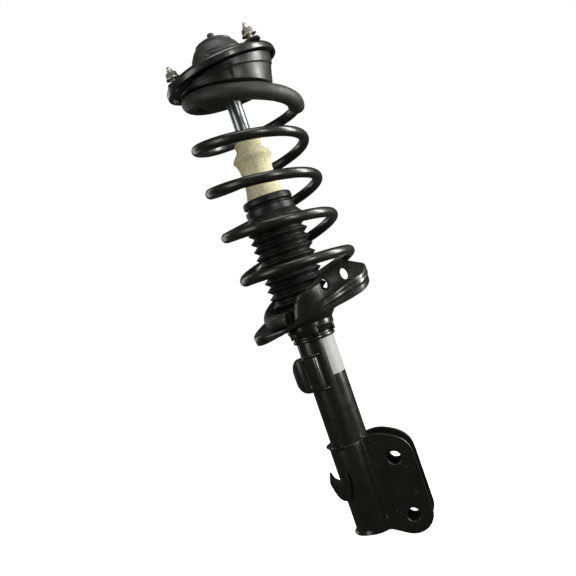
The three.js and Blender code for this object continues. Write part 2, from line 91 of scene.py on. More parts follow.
def tex(t, scale, detail=3.0, rough=0.55, stretch=None, kind="noise", dist=0.0):
    tc = t.nodes.new("ShaderNodeTexCoord"); src = tc.outputs["Object"]
    if stretch:
        mp = t.nodes.new("ShaderNodeMapping"); mp.inputs["Scale"].default_value = stretch
        t.links.new(src, mp.inputs["Vector"]); src = mp.outputs[0]
    if kind == "noise":
        n = t.nodes.new("ShaderNodeTexNoise"); n.inputs["Scale"].default_value = scale; n.inputs["Detail"].default_value = detail
        n.inputs["Roughness"].default_value = rough; n.inputs["Distortion"].default_value = dist
        t.links.new(src, n.inputs["Vector"]); return n.outputs["Fac"]
    n = t.nodes.new("ShaderNodeTexVoronoi"); n.inputs["Scale"].default_value = scale
    t.links.new(src, n.inputs["Vector"]); return n.outputs["Distance"]

def ranged(t, fac, lo, hi, a, b):
    r = t.nodes.new("ShaderNodeMapRange"); t.links.new(fac, r.inputs["Value"])
    r.inputs["From Min"].default_value = lo; r.inputs["From Max"].default_value = hi
    r.inputs["To Min"].default_value = a; r.inputs["To Max"].default_value = b
    return r.outputs["Result"]

def mixed(t, fac, a, b, lo=0.35, hi=0.65):
    r = t.nodes.new("ShaderNodeValToRGB"); t.links.new(fac, r.inputs["Fac"])
    r.color_ramp.elements[0].position = lo; r.color_ramp.elements[1].position = hi
    r.color_ramp.elements[0].color = (*a, 1); r.color_ramp.elements[1].color = (*b, 1)
    return r.outputs["Color"]

def bumped(t, b, height, strength, distance, before=None):
    n = t.nodes.new("ShaderNodeBump"); n.inputs["Strength"].default_value = strength; n.inputs["Distance"].default_value = distance
    t.links.new(height, n.inputs["Height"])
    if before: t.links.new(before, n.inputs["Normal"])
    t.links.new(n.outputs["Normal"], b.inputs["Normal"]); return n.outputs["Normal"]

def paint(name, a, b2, ra, rb, peel=520, depth=0.00012, coat=0.35, coat_r=0.16, spec=0.5):
    mt, t, b = nt(name)
    t.links.new(mixed(t, tex(t, 38, 4), a, b2), b.inputs["Base Color"])
    t.links.new(ranged(t, tex(t, 90, 4), 0.35, 0.68, ra, rb), b.inputs["Roughness"])
    b.inputs["Specular IOR Level"].default_value = spec
    b.inputs["Coat Weight"].default_value = coat; b.inputs["Coat Roughness"].default_value = coat_r
    n1 = bumped(t, b, tex(t, peel, 2), 0.5, depth)
    bumped(t, b, tex(t, 55, 2), 0.35, 0.0006, n1)
    return mt

PAINT = paint("black_paint", (0.0065, 0.0068, 0.0060), (0.012, 0.012, 0.0102), 0.25, 0.38, coat=0.3)
WIRE_M = paint("spring_coat", (0.0075, 0.0078, 0.0070), (0.0135, 0.0132, 0.0115), 0.27, 0.38, peel=430, depth=0.00014, coat=0.25, coat_r=0.2)
CUP_M = paint("seat_stamping", (0.0085, 0.0088, 0.0078), (0.0145, 0.0145, 0.0122), 0.36, 0.50, coat=0.12, coat_r=0.3)

def rubber(name, a, b2, ra, rb, grain=900, depth=0.00012, spec=0.42):
    mt, t, b = nt(name)
    t.links.new(mixed(t, tex(t, 60, 5), a, b2), b.inputs["Base Color"])
    t.links.new(ranged(t, tex(t, 140, 4), 0.35, 0.65, ra, rb), b.inputs["Roughness"])
    b.inputs["Specular IOR Level"].default_value = spec
    n1 = bumped(t, b, tex(t, grain, 3), 0.6, depth)
    bumped(t, b, tex(t, 120, 2), 0.35, 0.0003, n1)
    return mt

SLEEVE = rubber("sleeve_rubber", (0.021, 0.022, 0.0205), (0.034, 0.034, 0.0315), 0.46, 0.62)
BELLOWS = rubber("bellows_rubber", (0.0055, 0.0058, 0.0055), (0.010, 0.010, 0.0095), 0.36, 0.5, depth=0.00008, spec=0.4)
CAPM = rubber("cap_rubber", (0.021, 0.022, 0.0215), (0.032, 0.0325, 0.031), 0.42, 0.58)

def foam():
    mt, t, b = nt("bumper_foam")
    base = mixed(t, tex(t, 260, 6, 0.7), (0.60, 0.55, 0.29), (0.86, 0.81, 0.53), 0.36, 0.60)
    cells = ranged(t, tex(t, 900, 2, kind="voronoi"), 0.0, 0.5, 0.0, 1.0)
    mx = t.nodes.new("ShaderNodeMix"); mx.data_type = "RGBA"; mx.blend_type = "MULTIPLY"
    mx.inputs[0].default_value = 0.28
    t.links.new(base, mx.inputs[6]); t.links.new(mixed(t, cells, (0.55, 0.52, 0.40), (1, 1, 1), 0.0, 0.55), mx.inputs[7])
    t.links.new(mx.outputs[2], b.inputs["Base Color"])
    t.links.new(ranged(t, tex(t, 300, 3), 0.3, 0.7, 0.62, 0.85), b.inputs["Roughness"])
    b.inputs["Specular IOR Level"].default_value = 0.35
    b.inputs["Sheen Weight"].default_value = 0.12; b.inputs["Sheen Roughness"].default_value = 0.5
    n1 = bumped(t, b, cells, 0.55, 0.00025)
    bumped(t, b, tex(t, 160, 4), 0.4, 0.0006, n1)
    return mt
FOAM = foam()

def metal(name, a, b2, ra, rb, stretch=None, scale=120, depth=0.00006):
    mt, t, b = nt(name)
    t.links.new(mixed(t, tex(t, scale, 4, stretch=stretch), a, b2), b.inputs["Base Color"])
    t.links.new(ranged(t, tex(t, scale * 1.7, 4, stretch=stretch), 0.3, 0.7, ra, rb), b.inputs["Roughness"])
    b.inputs["Metallic"].default_value = 1.0
    bumped(t, b, tex(t, scale * 4, 2, stretch=stretch), 0.4, depth)
    return mt
CHROME = metal("chrome_rod", (0.25, 0.255, 0.26), (0.37, 0.375, 0.38), 0.26, 0.36, stretch=(1, 1, 0.05), scale=260, depth=0.00002)
ZINC = metal("zinc_yellow", (0.50, 0.485, 0.40), (0.72, 0.70, 0.60), 0.24, 0.42, scale=300)
STEEL = metal("machined_steel", (0.42, 0.43, 0.44), (0.56, 0.57, 0.58), 0.25, 0.4, stretch=(1, 1, 6))

def label():
    mt, t, b = nt("label_film")
    t.links.new(mixed(t, tex(t, 700, 4), (0.31, 0.31, 0.302), (0.42, 0.42, 0.41), 0.35, 0.6), b.inputs["Base Color"])
    t.links.new(ranged(t, tex(t, 200, 3), 0.3, 0.7, 0.42, 0.6), b.inputs["Roughness"])
    bumped(t, b, tex(t, 90, 3), 0.4, 0.0002)
    return mt
LABEL = label()
def plastic():
    mt, t, b = nt("nylon")
    t.links.new(mixed(t, tex(t, 80, 4), (0.05, 0.05, 0.055), (0.09, 0.09, 0.095)), b.inputs["Base Color"])
    t.links.new(ranged(t, tex(t, 200, 3), 0.3, 0.7, 0.35, 0.55), b.inputs["Roughness"])
    bumped(t, b, tex(t, 500, 2), 0.4, 0.0001)
    return mt
NYLON = plastic()
SLOT_MAT = {"black_paint": PAINT, "spring_coat": WIRE_M, "sleeve_rubber": SLEEVE, "bellows_rubber": BELLOWS, "bumper_foam": FOAM, "chrome_rod": CHROME,
            "zinc": ZINC, "steel": STEEL, "label_stock": LABEL, "nylon": NYLON, "cap_rubber": CAPM}
node_slot = {s["node"]: s["material_slot"] for s in frame["record"]["subparts"]}
for node, obj in frame["nodes"].items():
    obj.data.materials.clear(); obj.data.materials.append(SLOT_MAT[node_slot[node]])

# ------------------------------------------------------------------ mesh helpers (millimetres in, metres out)
def shade(me, deg=32):
    bm = bmesh.new(); bm.from_mesh(me)
    bmesh.ops.recalc_face_normals(bm, faces=bm.faces)
    lim = math.radians(deg)
    for f in bm.faces: f.smooth = True
    for e in bm.edges: e.smooth = not (len(e.link_faces) == 2 and e.calc_face_angle(0) > lim)
    bm.to_mesh(me); bm.free()

def make(name, verts, faces, mat, deg=32, turn=False, mx=None):
    v = np.array(verts, float).reshape(-1, 3) * MM
    if mx is not None: v = (np.array(mx.to_3x3()) @ v.T).T + np.array(mx.translation)
    if turn: v = np.c_[v[:, 0] * CP - v[:, 1] * SP, v[:, 0] * SP + v[:, 1] * CP, v[:, 2]]
    me = bpy.data.meshes.new(name); me.from_pydata(v.tolist(), [], faces); me.validate()
    me.materials.append(mat); shade(me, deg)
    o = bpy.data.objects.new(name, me); sc.collection.objects.link(o)
    return o

def grid(P, close_u=True, close_v=True, cap_u=False):
    n, k = len(P), len(P[0]); F = []
    for i in range(n if close_u else n - 1):
        a, b = i * k, ((i + 1) % n) * k
        for j in range(k if close_v else k - 1):
            j2 = (j + 1) % k
            F.append((a + j, b + j, b + j2, a + j2))
    if cap_u: F.append(tuple(range(k))[::-1]); F.append(tuple((n - 1) * k + j for j in range(k)))
    return [q for row in P for q in row], F

def fillet(pts, seg=4, closed=True):
    """pts are (x, y) or (x, y, r); each corner with r is rounded"""
    out, n = [], len(pts)
    for i, p in enumerate(pts):
        r = p[2] if len(p) > 2 else 0
        if r <= 0 or (not closed and i in (0, n - 1)): out.append((p[0], p[1])); continue
        a, b = np.array(pts[i - 1][:2], float), np.array(pts[(i + 1) % n][:2], float); c = np.array(p[:2], float)
        la, lb = np.linalg.norm(a - c), np.linalg.norm(b - c); ra, rb = min(r, la * 0.48), min(r, lb * 0.48)
        A, B = c + (a - c) / max(la, 1e-9) * ra, c + (b - c) / max(lb, 1e-9) * rb
        for s in range(seg + 1):
            t = s / seg; q = (1 - t) ** 2 * A + 2 * t * (1 - t) * c + t * t * B
            out.append((float(q[0]), float(q[1])))
    return out

def revolve(name, pts, mat, segs=96, closed=True, deg=32, seg=4, turn=False, mx=None, at=(0, 0)):
    p = fillet(pts, seg, closed)
    axis_a, axis_b = (not closed) and p[0][0] < 1e-6, (not closed) and p[-1][0] < 1e-6
    body = p[(1 if axis_a else 0):(len(p) - 1 if axis_b else len(p))]
    V, F = [], []; k = len(body)
    for i in range(segs):
        a = TAU * i / segs
        for r, z in body: V.append((at[0] + r * math.cos(a), at[1] + r * math.sin(a), z))
    for i in range(segs):
        a, b = i * k, ((i + 1) % segs) * k
        for j in range(k if closed else k - 1):
            j2 = (j + 1) % k; F.append((a + j, b + j, b + j2, a + j2))
    if axis_a:
        V.append((at[0], at[1], p[0][1])); c = len(V) - 1
        for i in range(segs): F.append((c, ((i + 1) % segs) * k, i * k))
    if axis_b:
        V.append((at[0], at[1], p[-1][1])); c = len(V) - 1
        for i in range(segs): F.append((c, i * k + k - 1, ((i + 1) % segs) * k + k - 1))
    return make(name, V, F, mat, deg, turn, mx)

def prism(name, outline, lo, hi, axis="z", mat=None, seg=4):
    p = fillet(outline, seg); n = len(p)
    if axis == "z": V = [(x, y, lo) for x, y in p] + [(x, y, hi) for x, y in p]
    else: V = [(x, lo, y) for x, y in p] + [(x, hi, y) for x, y in p]
    F = [tuple(range(n))[::-1], tuple(range(n, 2 * n))] + [(i, (i + 1) % n, n + (i + 1) % n, n + i) for i in range(n)]
    return make(name, V, F, mat or PAINT)

def boolean(o, other, op="DIFFERENCE"):
    md = o.modifiers.new("b", "BOOLEAN"); md.operation = op; md.object = other; md.solver = "EXACT"
    apply_mods(o); bpy.data.objects.remove(other, do_unlink=True)
    return o

def apply_mods(o):
    bpy.context.view_layer.update()
    dg = bpy.context.evaluated_depsgraph_get()
    me = bpy.data.meshes.new_from_object(o.evaluated_get(dg), preserve_all_data_layers=True, depsgraph=dg)
    old = o.data; o.modifiers.clear(); o.data = me; me.name = o.name
    return o

def bevel(o, width, seg=2, ang=28, deg=32, clamp=True):
    bm = bmesh.new(); bm.from_mesh(o.data)
    bmesh.ops.remove_doubles(bm, verts=bm.verts, dist=1e-5)
    bmesh.ops.dissolve_limit(bm, angle_limit=math.radians(0.6), verts=bm.verts, edges=bm.edges)
    bm.to_mesh(o.data); bm.free()
    md = o.modifiers.new("v", "BEVEL"); md.width = width * MM; md.segments = seg; md.limit_method = "ANGLE"; md.angle_limit = math.radians(ang)
    md.harden_normals = False; md.miter_outer = "MITER_ARC"; md.use_clamp_overlap = clamp
    apply_mods(o); shade(o.data, deg); return o

def turned(o):
    o.data.transform(Matrix.Rotation(PHI, 4, "Z")); return o

def join(name, *objs):
    bm = bmesh.new()
    for o in objs: bm.from_mesh(o.data)
    me = objs[0].data; bm.to_mesh(me); bm.free()
    objs[0].name = name; me.name = name
    for o in objs[1:]: bpy.data.objects.remove(o, do_unlink=True)
    return objs[0]

def hermite(T, x, k):
    i = 0
    while i < len(T) - 2 and T[i + 1][0] < x: i += 1
    p1, p2, p0, p3 = T[i], T[i + 1], T[max(0, i - 1)], T[min(len(T) - 1, i + 2)]
    h = p2[0] - p1[0]; t = min(1.0, max(0.0, (x - p1[0]) / h))
    m1 = 0 if p2[0] == p0[0] else (p2[k] - p0[k]) / (p2[0] - p0[0]) * h
    m2 = 0 if p3[0] == p1[0] else (p3[k] - p1[k]) / (p3[0] - p1[0]) * h
    return (2 * t**3 - 3 * t * t + 1) * p1[k] + (t**3 - 2 * t * t + t) * m1 + (3 * t * t - 2 * t**3) * p2[k] + (t**3 - t * t) * m2

def around(T):
    T = sorted(([r[0] % 360, *r[1:]] for r in T), key=lambda r: r[0])
    return [[r[0] - 360, *r[1:]] for r in T[-2:]] + T + [[r[0] + 360, *r[1:]] for r in T[:2]]

def give(o, body, nodes):
    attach(o, body)
    if nodes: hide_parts(*nodes)

# ------------------------------------------------------------------ damper tube
tube = revolve("tube", [(25, 4.9, 0.8), (25, 344, 1), (22.6, 344, 0.6), (22.6, 4.9, 0.6)], PAINT, 128)
give(tube, "strut_tube", ["strut_tube"])
base = revolve("tube_base", [(0, 0.0), (8.2, 0.0, 2), (11, 1.2, 3), (22.4, 5.0, 1), (22.3, 7), (0, 7)], PAINT, 96, closed=False)
weld = revolve("tube_base_weld", [(22.35, 6.2), (24.3, 5.2, 0.8), (24.4, 4.0, 0.6), (23.0, 3.6, 0.6), (21.3, 4.6)], PAINT, 96)
base = join("tube_base", base, weld)
give(base, "strut_tube", ["base_cap"])
gland = revolve("gland_cap_v", [(27.3, 331, 0.5), (27.3, 348.6, 2.4), (23, 349, 2), (18, 347.4, 1), (11.2, 347.8, 0.8), (11, 346, 0.4), (24, 345, 1), (25.35, 343.6, 0.6), (25.35, 331, 0.3)], PAINT, 96)
give(gland, "strut_tube", ["gland_cap"])
SEAT = around([[d % 360, r1, z1, r2, z2, zf, *(c or (r1 + 0.35 * (r2 - r1), z1 + 0.3 * (z2 - z1)))] for d, r1, z1, r2, z2, zf, *c in (
  (12, 41, 341.5, 85, 343.5, 331, 70, 351.6), (20, 41, 342, 75.5, 348.6, 339.6, 62, 350), (26, 41, 342.5, 70.4, 352, 343.5), (40, 41, 344, 65.5, 349.5, 341.5), (58, 41, 340, 59, 344.5, 337),
  (69, 41, 334, 58, 338, 330), (78, 41, 321, 63, 323, 312), (88, 41, 317.5, 74, 318.8, 307), (112, 41, 311.5, 77, 312.2, 300), (135, 39, 304.5, 77, 305, 292), (157, 35.5, 297.4, 76.5, 297.4, 284.5),
  (180, 33.8, 292, 75.2, 292, 280), (200, 33.6, 291.4, 70.5, 291.4, 279.5), (220, 33.6, 291.2, 60.5, 291.2, 283), (239, 34, 292.4, 54, 291.4, 286.6),
  (246, 36.5, 303, 51.5, 293.6, 288.4, 41.5, 301), (252, 38.6, 316, 49.5, 297, 290, 42.5, 309), (270, 40.6, 328, 48.2, 303, 292, 43.6, 321), (300, 41, 336.6, 54.5, 310.5, 295.3, 46, 331), (315, 41, 340.2, 62.5, 316, 297.3, 47.5, 336.4),
  (330, 41, 342.5, 74.5, 321.7, 300.5, 47, 343), (345, 41, 342, 88, 326.5, 306, 52, 347.6), (360, 41, 341.5, 94.2, 337, 317, 64, 351))])
collar = revolve("seat_support", [(25.2, 264, 0.4), (27.6, 264, 0.9), (28.6, 266.2, 1.1), (27.8, 268.6, 0.9), (26.2, 269.4, 0.7), (26.2, 271.8, 0.7), (29.0, 273.6, 1.6), (30.0, 277.4, 1.2), (31.6, 279.4, 1.0), (31.8, 287, 1.2), (25.2, 287.2)], PAINT, 128)
tabs = []
for a in (-22, 38, 98, 158, 218, 278):
    ca, sa = math.cos(math.radians(a)), math.sin(math.radians(a))
    t = prism("tab", [(25.4, -3.2, .5), (31.6, -2.4, 1.2), (31.6, 2.4, 1.2), (25.4, 3.2, .5)], 269.8, 280.5)
    bevel(t, 0.7, 2); t.data.transform(Matrix.Rotation(math.radians(a), 4, "Z")); tabs.append(t)
P = []
for i in range(144):
    d = i * 2.5; a = math.radians(d); zu = min(297.5, hermite(SEAT, d, 2) - 0.4) - 2.8 - 0.45
    k = (zu - 287.6) / 6.0; ro_ = 31.4 + 5.6 * max(0, k)
    P.append([(r * math.cos(a), r * math.sin(a), z) for r, z in fillet([(27.0, 281, .5), (29.6, 281.5, 1.5), (31.6, 286.2, 2), (ro_, zu - 0.4, 1.2), (ro_ - 0.4, zu, .3), (ro_ - 2.2, zu, .3), (29.5, 285.6, 1.5), (27, 283.5, .5)], 3)])
V, F = grid(P); tabs.append(make("cone", V, F, PAINT, deg=50))
collar = join("seat_support", collar, *tabs); turned(collar)
give(collar, "strut_tube", ["seat_support_collar"])
lab = []
for i in range(49):
    a = math.radians(-72 + 98 * i / 48)
    lab.append([(r * math.cos(a), r * math.sin(a), z) for r, z in ((25.02, 215), (25.22, 215), (25.24, 215.6), (25.24, 262.9), (25.22, 263.5), (25.02, 263.5))])
V, F = grid(lab, close_u=False, close_v=True, cap_u=True)
lab = make("label_blank", V, F, LABEL, turn=True); give(lab, "strut_tube", ["label"])

# ------------------------------------------------------------------ knuckle bracket
ri, ro, yi, yo, xa = 25.15, 28.75, 14.0, 18.0, 90.0
def arc(r, a0, a1, n): return [(r * math.cos(math.radians(a0 + (a1 - a0) * i / n)), r * math.sin(math.radians(a0 + (a1 - a0) * i / n))) for i in range(n + 1)]
outer = [(xa, yo), (27, yo, 7), (20.3, yo + 0.2, 5), (16.2, yo + 4.2, 4)] + arc(ro, 60, 300, 90) + [(16.2, -yo - 4.2, 4), (20.3, -yo - 0.2, 5), (27, -yo, 7), (xa, -yo)]
ai = math.degrees(math.asin(yi / ri))
inner = [(xa, -yi), (24.2, -yi, 2)] + arc(ri, 360 - ai - 1, ai + 1, 90) + [(24.2, yi, 2), (xa, yi)]
br = prism("knuckle_bracket_v", outer + inner, -16, 134, "z", seg=6)
ear = [(-45, 6.0), (-20, 7.4, 10), (-4, 9.4, 8), (9, 8.4, 8), (20, 3.0, 8), (32.6, -4.2, 8), (41, -8.6, 6)]
for i in range(15): t = math.radians(-98 + 98 * i / 14); ear.append((51.3 + 25.7 * math.cos(t), 15.8 + 25.7 * math.sin(t)))
ear += [(77, 90, 6), (75.8, 101, 8), (71, 109.8, 8), (63.5, 116.7, 8), (50.6, 123.4, 8), (41, 127, 7), (30, 127.7, 8), (20, 126.6, 5), (15.5, 124.5, 3), (-45, 124.5)]
boolean(br, prism("ear_cut", ear, -60, 60, "y", seg=4), "INTERSECT")
for z in (15, 91):
    h = revolve("hole", [(0, -30), (8.5, -30), (8.5, 30), (0, 30)], PAINT, 48, closed=False)
    h.data.transform(Matrix.Translation((51.5 * MM, 0, z * MM)) @ Matrix.Rotation(math.pi / 2, 4, "X")); boolean(br, h)
bevel(br, 1.3, 4, 30, clamp=False)
# outward-turned lips of the wrap, widest at the back
lips = []
for z0, dz, hgt in ((123.0, 1.0, 3.6), (8.2, -1.0, 4.2)):
    P = []
    for i in range(81):
        d = 92 + 176 * i / 80; a = math.radians(d + 13.5 - 13.5); k = math.sin(math.pi * i / 80) ** 0.45
        e = 4.0 * k
        loop = fillet([(ro - 1.6, z0 - dz * 6, 0.4), (ro - 0.15, z0 - dz * 5, 2), (ro + 0.15 * e, z0 - dz * 2.2, 2), (ro + 0.75 * e + .2, z0 + dz * 0.3, 1), (ro + 0.85 * e + .3, z0 + dz * 1.5, 0.8), (ro + 0.3 * e - .6, z0 + dz * 1.55, 0.8), (ro - 1.7, z0 + dz * 0.2, 0.4)], 3)
        P.append([(r * math.cos(a), r * math.sin(a), z) for r, z in loop])
    V, F = grid(P, False, True, True); lips.append(make("lip", V, F, PAINT))
# pinch at the foot of each bead
for s in (-1, 1):
    P = []
    for i in range(17):
        u = i / 16; k = math.sin(math.pi * u) ** 0.8
        P.append([(17.6 + (1.2 + 3.4 * k) * math.cos(q) * 0.8, s * (20.6 - 0.2 * k + (0.4 + 1.9 * k) * math.sin(q)), 9 + 15 * u) for q in np.linspace(0, TAU, 20, endpoint=False)])
    V, F = grid(P, False, True, True); lips.append(make("pinch", V, F, PAINT, deg=60))
br = join("knuckle_bracket_v", br, *lips)
dots = []
for x, z, r in ((33.8, 115.1, 1.3), (63.2, 75.2, 1.4), (33.8, 61.7, 1.5), (42, 47.6, 1.1), (63, 39.4, 1.4), (32.2, 23.6, 1.2), (36.5, 21.0, 1.0), (41, 66, 0.9), (30.5, 58.5, 1.0), (67, 77.5, 0.8), (66.5, 41.5, 0.9), (37.5, 112.5, 0.9)):
    d = revolve("spatter", [(0, 0.85 * r), (0.5 * r, 0.72 * r, 0.3 * r), (0.95 * r, 0.2 * r, 0.2 * r), (1.25 * r, -0.3), (0, -0.3)], PAINT, 20, closed=False, deg=60)
    d.data.transform(Matrix.Translation((x * MM, -0.018, z * MM)) @ Matrix.Rotation(math.pi / 2, 4, "X")); dots.append(d)
br = join("knuckle_bracket_v", br, *dots)
give(br, "strut_tube", ["knuckle_bracket"])

# ------------------------------------------------------------------ hose bracket and line clip
def flip(pts): return [(x, -t) if len(r) == 0 else (x, -t, *r) for x, t, *r in pts]
hb = prism("hose_bracket_v", flip([(-5, 25.0, .5), (-7.5, 29.4, 3), (-12, 30.8, 3), (-28.5, 28.6, 6), (-35.5, 24.6, 7), (-39.6, 17, 7), (-41.3, 8, 6), (-41.2, -4, 4), (-38.4, -10.6, 4), (-32, -13, 3), (-23.6, -12, .5), (-14, 10), (-4, 14)]), 190, 252)
boolean(hb, prism("rim", [(-20.5, 202, 4), (-31, 202.3, 6), (-37.4, 206.2, 6), (-41, 213, 8), (-42.2, 222, 10), (-41.4, 233, 8), (-38.4, 241, 6), (-33, 245, 5), (-26, 245.6, 5), (0, 243.4), (0, 204)], -60, 60, "y"), "INTERSECT")
h = revolve("cut", [(0, 180), (25.05, 180), (25.05, 260), (0, 260)], PAINT, 128, closed=False); boolean(hb, h)
boolean(hb, prism("pocket", flip([(-27, 3, 2), (-38.2, 3, 2), (-38.2, 30), (-27, 30)]) if False else [(-27.5, 3, 2), (-38.2, 3, 2), (-38.2, 30, 2), (-27.5, 30, 2)], 206.5, 237.5))
g = revolve("groove", [(0, 208), (1.2, 208, .5), (2.3, 211, 1), (2.3, 238, 1), (1.2, 241, .5), (0, 241)], PAINT, 24, closed=False, at=(-24.4, -30.3)); boolean(hb, g)
bm = bmesh.new(); bm.from_mesh(hb.data)              # keep the largest piece only
seen, best = set(), []
for v0 in bm.verts:
    if v0.index in seen: continue
    st, comp = [v0], []; seen.add(v0.index)
    while st:
        v = st.pop(); comp.append(v)
        for e in v.link_edges:
            w = e.other_vert(v)
            if w.index not in seen: seen.add(w.index); st.append(w)
    if len(comp) > len(best): best = comp
keep = set(v.index for v in best)
bmesh.ops.delete(bm, geom=[v for v in bm.verts if v.index not in keep], context="VERTS"); bm.to_mesh(hb.data); bm.free()
bevel(hb, 1.5, 4, 30); turned(hb)
welds = []
for z in (201.2, 246.2):
    P = []
    for i in range(41):
        a = math.radians(-150 + 62 * i / 40); k = 0.75 + 0.25 * math.sin(i * 1.9)
        P.append([((25.2 + 1.9 * k * math.cos(q)) * math.cos(a), (25.2 + 1.9 * k * math.cos(q)) * math.sin(a), z + 2.1 * k * math.sin(q) + 0.25 * math.sin(i * .8)) for q in np.linspace(0, TAU, 14, endpoint=False)])
    V, F = grid(P, False, True, True); welds.append(make("weld", V, F, PAINT, deg=60, turn=True))
hb = join("hose_bracket_v", hb, *welds)
give(hb, "strut_tube", ["hose_bracket"])

CLIP = [(-12.2, 95, .3), (-15, 87.5, 2), (-17.4, 80, 1.5), (-14.6, 70, 4), (-10.6, 60.6, 2), (-5.6, 56.2, 2), (-2, 55.2, 1.5), (3, 55, 2), (7.6, 58.4, 2), (10.6, 66, 4), (13.4, 76, 4), (14, 83, 3), (12.8, 91.6, .3), (10.4, 87.6, 2), (7.2, 84.4, 2), (2.6, 83.2, 2), (-3.4, 83.4, 2), (-8.8, 86.6, 2)]
clip = prism("line_clip_v", CLIP, -1.6, 1.6, "y"); bevel(clip, 1.0, 3, 30)
bm = bmesh.new(); bm.from_mesh(clip.data)            # subdivide the long edges of the plate
bmesh.ops.subdivide_edges(bm, edges=[e for e in bm.edges if e.calc_length() > 0.012], cuts=2, use_grid_fill=True)
bm.to_mesh(clip.data); bm.free()
stem = revolve("stem", [(0, -1), (6.2, -1, .5), (5.6, 2.4, 1.2), (4.6, 5.4), (0, 5.4)], PAINT, 40, closed=False)
stem.data.transform(Matrix.Translation((4.5 * MM, 0.6 * MM, 66 * MM)) @ Matrix.Rotation(-math.pi / 2, 4, "X"))
clip = join("line_clip_v", clip, stem); shade(clip.data, 32)
clip.data.transform(Matrix.Rotation(PHI, 4, "Z") @ Matrix.Translation((-27.8 * MM, -18.4 * MM, 0)) @ Matrix.Rotation(math.radians(-38), 4, "Z"))
give(clip, "strut_tube", ["line_clip"])

# ------------------------------------------------------------------ lower spring seat
P, T = [], 2.8
for i in range(288):
    d = i * 360 / 288; a = math.radians(d); c, s = math.cos(a), math.sin(a)
    r1, z1, r2, z2, zf, rc, zc = (hermite(SEAT, d, k) for k in (1, 2, 3, 4, 5, 6, 7))
    fl = min(297.5, z1 - 0.4); bead = max(0.0, min(1.0, (z2 - zf - 13) / 8))
    zb = z2 - 0.46 * (z2 - zf)
    loop = [(25.2, fl, 0.5), (r1 - 1.6, fl, 1), (r1, max(z1, fl + 0.4), 2.4), (rc, zc, 3), (r2 - 3.5, z2 + 0.7, 1.6), (r2 - 0.7, z2 - 0.5, 1.6), (r2 + 0.1, z2 - 3.4, 1.2),
            (r2 - 0.5, zb + 3.2, 1.5), (r2 - 0.5 + 0.9 * bead, zb + 0.4, 1.2), (r2 - 0.9, zb - 2.4, 1.5), (r2 - 1.4, zf, 0.9),
            (r2 - 1.4 - T, zf, 0.9), (r2 - T, z2 - 5.2, 2), (r2 - 5, z2 - T, 2), (rc, zc - T - 0.6, 3), (r1 + T, max(z1 - T - 1, fl - T + 0.4), 2), (r1 + 0.5, fl - T, 1), (25.2, fl - T, 0.5)]
    P.append([(r * c, r * s, z) for r, z in fillet(loop, 3)])
V, F = grid(P); seat = make("lower_seat_v", V, F, PAINT, deg=40)
for x, y0, y1, z, w, h in ((34, -58, 42, 327.5, 5.9, 7.5), (62, -59, 31, 332.5, 4.6, 7.4)):
    n = 48; V = [(x + w * math.cos(q), y, z + h * math.sin(q)) for y in (y0, y1) for q in np.linspace(0, TAU, n, endpoint=False)]
    F = [tuple(range(n))[::-1], tuple(range(n, 2 * n))] + [(i, (i + 1) % n, n + (i + 1) % n, n + i) for i in range(n)]
    boolean(seat, make("pierce", V, F, PAINT))
shade(seat.data, 40); turned(seat)
give(seat, "strut_tube", ["lower_spring_seat"])

# ------------------------------------------------------------------ spring and sleeves
WIRE = [[24, 56, 612.2], [45, 56, 612], [90, 55.6, 611], [135, 55, 609.4], [180, 54.6, 606.4], [225, 56.6, 599], [270, 61.5, 588], [315, 70, 574.5], [360, 77.4, 562.4],
  [405, 76, 560], [450, 71.5, 556], [495, 68.2, 550.5], [540, 66.6, 546], [630, 69.6, 530.5], [720, 72.4, 515.9], [810, 70, 501.6], [900, 67.7, 487.3], [990, 70, 474.9],
  [1080, 72.4, 462.2], [1170, 69.8, 444.6], [1260, 66.6, 426.4], [1350, 71, 418.2], [1440, 75.7, 409.6], [1530, 70.5, 387.2], [1620, 61.8, 365.2], [1665, 65, 363.4], [1710, 71, 362.2], [1755, 77.5, 361],
  [1800, 81.4, 358.6], [1823, 80.4, 353], [1845, 77, 346], [1870, 71, 338], [1890, 66.2, 331.6], [1912, 61, 324.4], [1935, 55.6, 316], [1957, 49.8, 308], [1980, 45.6, 302.8], [2005, 44.8, 301.6], [2038, 45, 301.4]]
def wire_at(d):
    r, z, a = hermite(WIRE, d, 1), hermite(WIRE, d, 2), math.radians(d)
    return np.array([r * math.cos(a), r * math.sin(a), z])
# one smoothed centreline
DS = np.arange(24, 2038.01, 1.5); C = np.array([wire_at(d) for d in DS])
for _ in range(30):
    C[1:-1] = 0.25 * C[:-2] + 0.5 * C[1:-1] + 0.25 * C[2:]
Tn = np.gradient(C, axis=0); Tn /= np.linalg.norm(Tn, axis=1)[:, None]
Z_LO, Z_HI = 331.0, 606.0
SHARE = np.clip((C[:, 2] - Z_LO) / (Z_HI - Z_LO), 0, 1)
def frame_at(i):
    a = math.radians(DS[i]); u = np.array([math.cos(a), math.sin(a), 0]); x = u - Tn[i] * (u @ Tn[i]); x /= np.linalg.norm(x)
    return x, np.cross(Tn[i], x)
def ring(i, r, n, off=0.0, slant=0.0):
    x, y = frame_at(i); c = C[i] + Tn[i] * off
    return [tuple(c + Tn[i] * slant * (math.cos(q) - 0.4 * math.sin(q)) + r * (math.cos(q) * x + math.sin(q) * y)) for q in np.linspace(0, TAU, n, endpoint=False)]
def share(o):
    """bakes the object's transform into its mesh data"""
    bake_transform(o)
NS = 28
rows = [ring(0, r, NS, off) for r, off in ((2.5, 0.0), (5.2, 0.05), (6.3, 0.5))]; per = [SHARE[0]] * 3 * NS
for i in range(1, len(DS) - 1): rows.append(ring(i, 6.75, NS)); per += [SHARE[i]] * NS
rows += [ring(len(DS) - 1, r, NS, off) for r, off in ((6.3, -0.5), (5.2, -0.05), (2.5, 0.0))]; per += [SHARE[-1]] * 3 * NS
